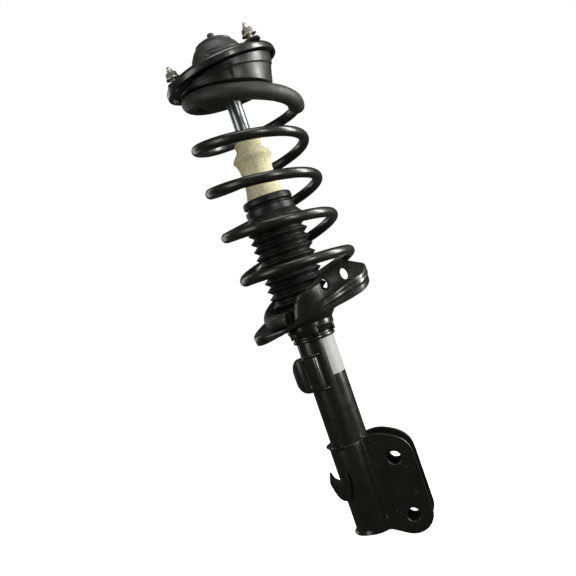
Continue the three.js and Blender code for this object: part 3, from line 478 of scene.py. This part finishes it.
V, F = grid(rows, False, True, True); spring = make("coil_spring_v", V, F, WIRE_M, deg=60, turn=True)
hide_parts("coil_spring"); share(spring)

def sleeve(name, d0, d1, ro, lump=0.0, flare=0.0, slant=0.0):
    I = [i for i in range(len(DS)) if d0 <= DS[i] <= d1]; rows, per = [], []
    n = 40
    def row(i, r, off=0.0, sl=0.0): rows.append(ring(i, r, n, off, sl)); per.extend([SHARE[i]] * n)
    a, b = I[0], I[-1]
    row(a, 6.95, 0.2); row(a, ro - 1.6, 0.0); row(a, ro - 0.5, 0.3)
    for i in I[1:-1]:
        k = 1 + lump * (0.5 * math.sin(DS[i] * 0.11) + 0.3 * math.sin(DS[i] * 0.31 + 1))
        e = math.exp(-(b - i) / 2.5); row(i, ro * (k + flare * e), 0.0, slant * e)
    f = ro * (1 + flare); row(b, f - 0.35, -0.25, slant); row(b, f - 1.5, 0.05, slant); row(b, 7.3, 0.1, slant * 0.7); row(b, 6.95, -0.8, slant * 0.6)
    for i in I[1:-1][::-1][::6]: row(i, 6.9)
    V, F = grid(rows, True, True); o = make(name, V, F, SLEEVE, deg=50, turn=True)
    return o, per
up_s, per = sleeve("upper_sleeve_v", 24, 365, 10.8, 0.014, 0.06, 1.6)
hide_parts("upper_spring_sleeve"); share(up_s)
lo_s, per = sleeve("lower_sleeve_v", 1922, 2037, 9.6, 0.02)
give(lo_s, "strut_tube", ["lower_spring_sleeve"])

# ------------------------------------------------------------------ dust boot and bump stop
prof_o = [(31.4, 303, .5), (31.8, 311, 1)]
for i in range(12):
    z = 314 + i * 10.9
    if z + 5.4 > 438: break
    prof_o += [(32.4, z, 1.3), (39.2, z + 5.4, 0.9)]
prof_o += [(32.2, 438, 1.3), (32.6, 440.2, 1.2), (32.8, 446.2, 1.3), (29.2, 447.4, 1.0), (29.2, 449.6, 1.0), (33.0, 450.8, 1.6), (32.9, 457.4, 1.6), (30.8, 459.8, 1.4), (26.8, 460.4, 0.8)]
prof_i = [(26.2, 458.8, .5), (29.8, 457.2, 1), (30.8, 452, 1), (27.4, 450.4, 1), (27.4, 447, 1), (30.8, 445, 1), (30.6, 439, 1)]
for i in range(11, -1, -1):
    z = 314 + i * 10.9
    if z + 5.4 > 438: continue
    prof_i += [(37.4, z + 5.4, 0.8), (30.9, z, 1.2)]
prof_i += [(30, 311, .5), (29.8, 303, .4)]
boot = revolve("dust_boot_v", prof_o + prof_i, BELLOWS, 112, deg=70, seg=3)
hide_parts("dust_boot"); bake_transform(boot)

bs = [(10.7, 452, .5), (25.2, 452, 1), (25.4, 461, 3), (23.6, 468, 6), (21.5, 478, 7), (21.0, 489, 8), (21.4, 499, 6), (23.0, 507.8, 4), (26.9, 514.2, 1.5), (23.2, 520.0, 2.5),
      (18.6, 524.2, 3), (17.3, 528, 3), (17.9, 532, 2.4), (18.3, 534.6, 2), (16.6, 536.8, 1.6), (12, 537, 1), (10.7, 536, .5)]
bump = revolve("bump_stop_v", bs, FOAM, 144, deg=75, seg=6)
for v in bump.data.vertices:
    p = v.co; r = math.hypot(p.x, p.y)
    if r > 0.013:
        k = noise.noise(p * 90) * 0.00022 + noise.noise(p * 420) * 0.00006
        # a small moulding slit on the right of the waist
        a = math.degrees(math.atan2(p.y, p.x)) - 13.5; dz = (p.z - 0.5035) / 0.0026; da = (((a + 52 + 180) % 360) - 180) / 2.0
        k -= 0.0022 * math.exp(-(dz * dz) ** 2 - da * da)
        p.x += p.x / r * k; p.y += p.y / r * k
give(bump, "bump_stop", ["bump_stop"])

# ------------------------------------------------------------------ upper seat
FOOT = around([[4, 604], [16, 624], [60, 624], [90, 623.4], [135, 622], [180, 618.6], [225, 612.5], [270, 604.5], [315, 598], [345, 596.4]])
TX, TY = 0.1156, 0.046
def lean(r, a): return r * (TX * math.cos(a) + TY * math.sin(a))
P, Q, T = [], [], 2.6
for i in range(288):
    d = i * 1.25; a = math.radians(d); c, s = math.cos(a), math.sin(a)
    zt = 628.6 + lean(66.5, a); zf = min(hermite(FOOT, d, 1), zt - 2.8)
    rf, rt, zm = 58.4 + (zf - 603) * 9.4 / 40, 58.4 + (zt - 603) * 9.4 / 40, 630.5 + 0.6 * lean(50, a)
    smooth = lambda x: (lambda y: y * y * (3 - 2 * y))(min(1, max(0, x)))
    dip = 1.3 * smooth((d - 214) / 5) * smooth((281 - d) / 4); firm = 0.9 + 1.0 * smooth((d - 279) / 6)
    h1, h2 = zf + 0.30 * (zt - zf), zf + 0.62 * (zt - zf); rr = lambda z: 58.4 + (z - 603) * 9.4 / 40
    amp = max(0.0, min(1.0, (zt - zf - 8) / 14))
    loop = [(rf, zf, 1.2), (rr(h1) - 0.2 - dip, h1, 2), (rr(h2) - 0.1 - dip, h2 - 1.2, 1), (rr(h2) + firm * amp - dip * 0.7, h2 + 0.5, 0.8), (rr(h2) + firm * amp - dip * 0.7, h2 + 2.4, 0.8), (rt - 0.2, zt - 2.6, 1.5), (rt + 0.2 * amp, zt - 1.2, 0.8), (rt - 1.4, zt + 0.2, 1.2),
            (50, zm, 6), (36, 635.6, 3), (13, 635.6, .6), (13, 599.8, .6), (22, 599.6, 2), (27, 598, 3), (36, 596.3, 2.0), (40.6, 596.8, 1.6), (40.8, 603, 2), (40.5, zm - T - 0.4, 3), (50, zm - T, 3), (rt - T - 1.4, zt - T + 0.4, 2), (rf - T, zf, 1)]
    P.append([(r * c, r * s, z) for r, z in fillet(loop, 3)])
    pad = [(42, zf + 2, 1), (rf - T - 1.4, zf + 1.4, 1), (rf - T - 0.9, min(zf + 4, zt - T - 2.4), 1), (rt - T - 3, zt - T - 1.6, 1), (50, zm - T - 0.5, 1), (42, zm - T - 1.2, 1)]
    Q.append([(r * c, r * s, z) for r, z in fillet(pad, 3)])
V, F = grid(P); cup = make("upper_seat_v", V, F, CUP_M, deg=40, turn=True); give(cup, "upper_seat", ["upper_spring_seat"])
V, F = grid(Q); pad = make("upper_insulator_v", V, F, SLEEVE, deg=40, turn=True); give(pad, "upper_seat", ["upper_spring_insulator"])

# ------------------------------------------------------------------ top mount
q = Vector((0, 0, 1)).rotation_difference(Vector((-TX, -TY, 1)).normalized())
TILT = Matrix.Translation((0, 0, 0.6375)) @ q.to_matrix().to_4x4()
def top(r): return 3.6 + (r - 66) * -0.45 if r > 66 else 3.6 + (66 - r) * 0.2
plate = revolve("mount_plate_v", [(37.4, top(37.4) + 0.6, 1), (44, top(44), 3), (50, top(50), 4), (66, 3.8, 6), (73.4, 0.9, 4), (76.6, -2.2, 2.5), (77, -5.2, 2), (77.2, -8.4, 1), (77, -10, 0.8),
    (74.2, -10, 0.8), (74, -5.4, 2), (72.6, -2.4, 2), (65.5, 0.6, 5), (50, top(50) - 3, 3), (37.4, top(37.4) - 2.6, 1)], PAINT, 192, seg=5, mx=TILT)
PADS = []
for a in (16, 136, 256):
    b = revolve("pad", [(0, 2.0), (7.6, 2.0), (7.2, 5.9, 0.6), (6.4, 6.6, 0.8), (0, 6.6)], PAINT, 48, closed=False, mx=TILT, at=(58 * math.cos(math.radians(a)), 58 * math.sin(math.radians(a))))
    PADS.append(b)
for a in (-164, -44, 76):
    x, y = 65 * math.cos(math.radians(a)), 65 * math.sin(math.radians(a))
    PADS.append(revolve("boss", [(4.3, 1.4), (11.4, 1.6), (10.6, 4.9, 0.8), (9.4, 5.3, 0.8), (4.3, 5.3, 0.5)], PAINT, 56, mx=TILT, at=(x, y)))
inv = TILT.inverted()
for v in plate.data.vertices:
    q = inv @ v.co; k = min(1, max(0, (math.hypot(q.x, q.y) - 0.046) / 0.018)); q.x -= 0.0036 * k * k * (3 - 2 * k); v.co = TILT @ q
plate = join("mount_plate_v", plate, *PADS); turned(plate)
give(plate, "top_mount", ["mount_plate"])

def threaded(name, R, z0, z1, pitch, depth, tip, mat, at, mx, head=None):
    n = 36; rows = []
    if head: rows += [[(at[0] + r * math.cos(g), at[1] + r * math.sin(g), z) for g in np.linspace(0, TAU, n, endpoint=False)] for r, z in head]
    k = int((z1 - z0) / (pitch / 6))
    for i in range(k + 1):
        z = z0 + (z1 - z0) * i / k; fade = min(1, (z - z0) / pitch, (z1 - z) / pitch * 1.0 + 0.15)
        rows.append([(at[0] + (R - depth * fade * (1 - abs(2 * (((z / pitch) - g / TAU) % 1) - 1))) * math.cos(g), at[1] + (R - depth * fade * (1 - abs(2 * (((z / pitch) - g / TAU) % 1) - 1))) * math.sin(g), z) for g in np.linspace(0, TAU, n, endpoint=False)])
    rows += [[(at[0] + r * math.cos(g), at[1] + r * math.sin(g), z) for g in np.linspace(0, TAU, n, endpoint=False)] for r, z in tip]
    V, F = grid(rows, False, True, True)
    return make(name, V, F, mat, deg=48, mx=mx)

def hexnut(name, af, z0, z1, bore, mat, at, mx, flange=None):
    n = 120; P = []
    for i in range(n):
        g = TAU * i / n; h = (math.degrees(g) % 60) - 30; R = (af / 2) / math.cos(math.radians(h)); ch = af / 2 * 1.03
        prof = []
        if flange:
            fr, f0, f1 = flange
            prof += [(bore, f0), (fr - 0.5, f0), (fr, f0 + 0.35), (fr, f0 + 0.9), (fr - 0.6, f0 + 1.35), (R + 0.35, f1)]
        else: prof += [(bore, z0), (min(R, ch), z0), (R, z0 + max(0.0, R - ch) * 0.6 + 0.02)]
        prof += [(R, z1 - max(0.0, R - ch) * 0.6 - 0.02), (min(R, ch), z1), (bore + 0.7, z1), (bore, z1 - 0.6)]
        P.append([(at[0] + r * math.cos(g), at[1] + r * math.sin(g), z) for r, z in prof])
    V, F = grid(P); return make(name, V, F, mat, deg=22, mx=mx)

for k, a in enumerate((-164, -44, 76), 1):
    x, y = 65 * math.cos(math.radians(a)), 65 * math.sin(math.radians(a))
    s = threaded(f"stud_{k}_v", 4.0, 1.0, 22.6, 1.25, 0.62, [(3.3, 23.0), (2.8, 23.8), (2.4, 25.2), (1.9, 27.0), (1.2, 28.0), (0.5, 28.35)], ZINC, (x, y), TILT, head=[(4.4, -4.15), (4.9, -3.9), (4.9, -3.4), (4.5, -3.1), (4.0, -2.95)])
    turned(s); give(s, "top_mount", [f"stud_{k}"])
    nut = hexnut(f"flange_nut_{k}_v", 12.8, 12.6, 19, 3.5, ZINC, (x, y), TILT, flange=(9.7, 10.4, 12.9))
    turned(nut); give(nut, "top_mount", [f"flange_nut_{k}"])

dome = revolve("dust_cap_v", [(0, 686.7), (3.2, 686.7, 1), (4.6, 685.4, 0.8), (4.7, 680.4, 1.0), (8.5, 679.0, 2), (17.5, 676.2, 3), (22.6, 673.6, 0.8), (24.6, 672.0, 0.5), (24.7, 670.6, 0.5), (24.2, 669.8, 0.4), (26.2, 668.6, 0.8), (29.2, 665.6, 2), (32.4, 660.6, 2), (33.9, 657.4, 1.2), (35.2, 655.8, 1), (35.4, 652, 1), (36.3, 650.4, .8), (36.3, 646.2, .6), (33.4, 645.6, .5), (33.4, 651, 1), (31.4, 658, 2), (27, 665.4, 2), (22.6, 670.2, 2), (16.4, 674, 2), (7, 676.2, 1), (0, 676.6)], CAPM, 144, closed=False, seg=5, deg=45)
# the cap's flange lies on the leaning plate
flange = revolve("cap_flange", [(33.8, 8.3), (33.8, 12.8, .5), (36.4, 12.7, 1.2), (40.3, 10.7, 1), (40.6, 8.9, .5), (37.3, 9.5, .3), (37.1, 8.3)], CAPM, 128, seg=4, mx=TILT)
turned(flange); dome = join("dust_cap_v", dome, flange)
give(dome, "top_mount", ["dust_cap"])
mr = revolve("mount_rubber_v", [(14.6, 643.9, .5), (20, 644.6, 1), (31.8, 643.9, 1), (32.7, 645, 1), (32.7, 650.6, 2), (30.2, 655.4, 2), (26, 658.4, 2), (20, 656.8, 2), (14.6, 658.4, .5)], SLEEVE, 96)
give(mr, "top_mount", ["mount_rubber"])
rod = revolve("piston_rod_v", [(0, 262.4), (5.6, 262.4, .5), (6.4, 263.4, .4), (6.4, 290, .3), (9.6, 290, .3), (10, 290.6, .3), (10, 656.4, .3), (9.6, 656.9, .3), (7, 657.2, .3), (7, 673, .5), (6, 674, .4), (0, 674)], CHROME, 128, closed=False)
give(rod, "top_mount", ["piston_rod"])
rn = hexnut("rod_nut_v", 20.7, 663.8, 671, 7.05, ZINC, (0, 0), None); give(rn, "top_mount", ["rod_nut"])
for name in ("base_valve", "pressure_tube", "rod_guide", "rod_seal", "piston", "piston_ring", "piston_nut", "rebound_stop", "bearing_lower_race", "bearing_ball_cage", "bearing_upper_race", "mount_inner_sleeve", "rod_washer"):
    me = frame["nodes"][name].data
    for p in me.polygons: p.use_smooth = False

# ------------------------------------------------------------------ floor, light, world
fl_m, t, b = nt("floor_pale")
t.links.new(mixed(t, tex(t, 3, 3), (0.86, 0.86, 0.86), (0.89, 0.89, 0.89)), b.inputs["Base Color"]); b.inputs["Roughness"].default_value = 0.9
b.inputs["Specular IOR Level"].default_value = 0.1
b.inputs["Emission Color"].default_value = (1, 1, 1, 1); b.inputs["Emission Strength"].default_value = 0.97
z0 = CAD_BOX[0][2] - 0.0005
me = bpy.data.meshes.new("floor"); me.from_pydata([(-14, -14, z0), (14, -14, z0), (14, 14, z0), (-14, 14, z0)], [], [(0, 1, 2, 3)]); me.materials.append(fl_m)
floor = bpy.data.objects.new("floor", me); sc.collection.objects.link(floor)
floor.visible_glossy = False; floor.visible_diffuse = False

w = bpy.data.worlds.new("studio"); sc.world = w; w.use_nodes = True; wt = w.node_tree; wt.nodes.clear()
wo = wt.nodes.new("ShaderNodeOutputWorld"); bg = wt.nodes.new("ShaderNodeBackground"); wt.links.new(bg.outputs[0], wo.inputs[0])
lp = wt.nodes.new("ShaderNodeLightPath"); mxw = wt.nodes.new("ShaderNodeMix"); mxw.data_type = "FLOAT"
mxw.inputs[2].default_value = 0.055; mxw.inputs[3].default_value = 1.0
wt.links.new(lp.outputs["Is Camera Ray"], mxw.inputs[0]); wt.links.new(mxw.outputs[0], bg.inputs["Strength"])
bg.inputs["Color"].default_value = (1, 1, 1, 1)

def area(name, at, to, size, size_y, power, col=(1, 1, 1)):
    l = bpy.data.lights.new(name, "AREA"); l.shape = "RECTANGLE"; l.size = size; l.size_y = size_y; l.energy = power; l.color = col
    o = bpy.data.objects.new(name, l); sc.collection.objects.link(o)
    p = across * at[0] + view * -at[1] + up * at[2]; q = across * to[0] + view * -to[1] + up * to[2]
    o.location = p; o.rotation_euler = (q - p).to_track_quat("-Z", "Y").to_euler(); o.visible_camera = False
    return o
area("key_left", (-1.35, 0.85, 0.85), (0, 0, 0.38), 0.6, 1.4, 8.5)
area("rim_right", (1.3, 0.05, 0.7), (0, 0, 0.4), 0.3, 1.2, 32)
area("top_soft", (0.15, 0.25, 1.9), (0, 0, 0.4), 0.8, 0.8, 10)
area("front_right", (0.7, 1.2, 0.75), (0, 0, 0.38), 0.1, 1.1, 9)
area("back_left", (-0.9, -1.1, 0.7), (0, 0, 0.4), 0.4, 1.1, 2.2)
sc.view_settings.view_transform = "Standard"; sc.view_settings.look = "None"; sc.view_settings.exposure = 0.0
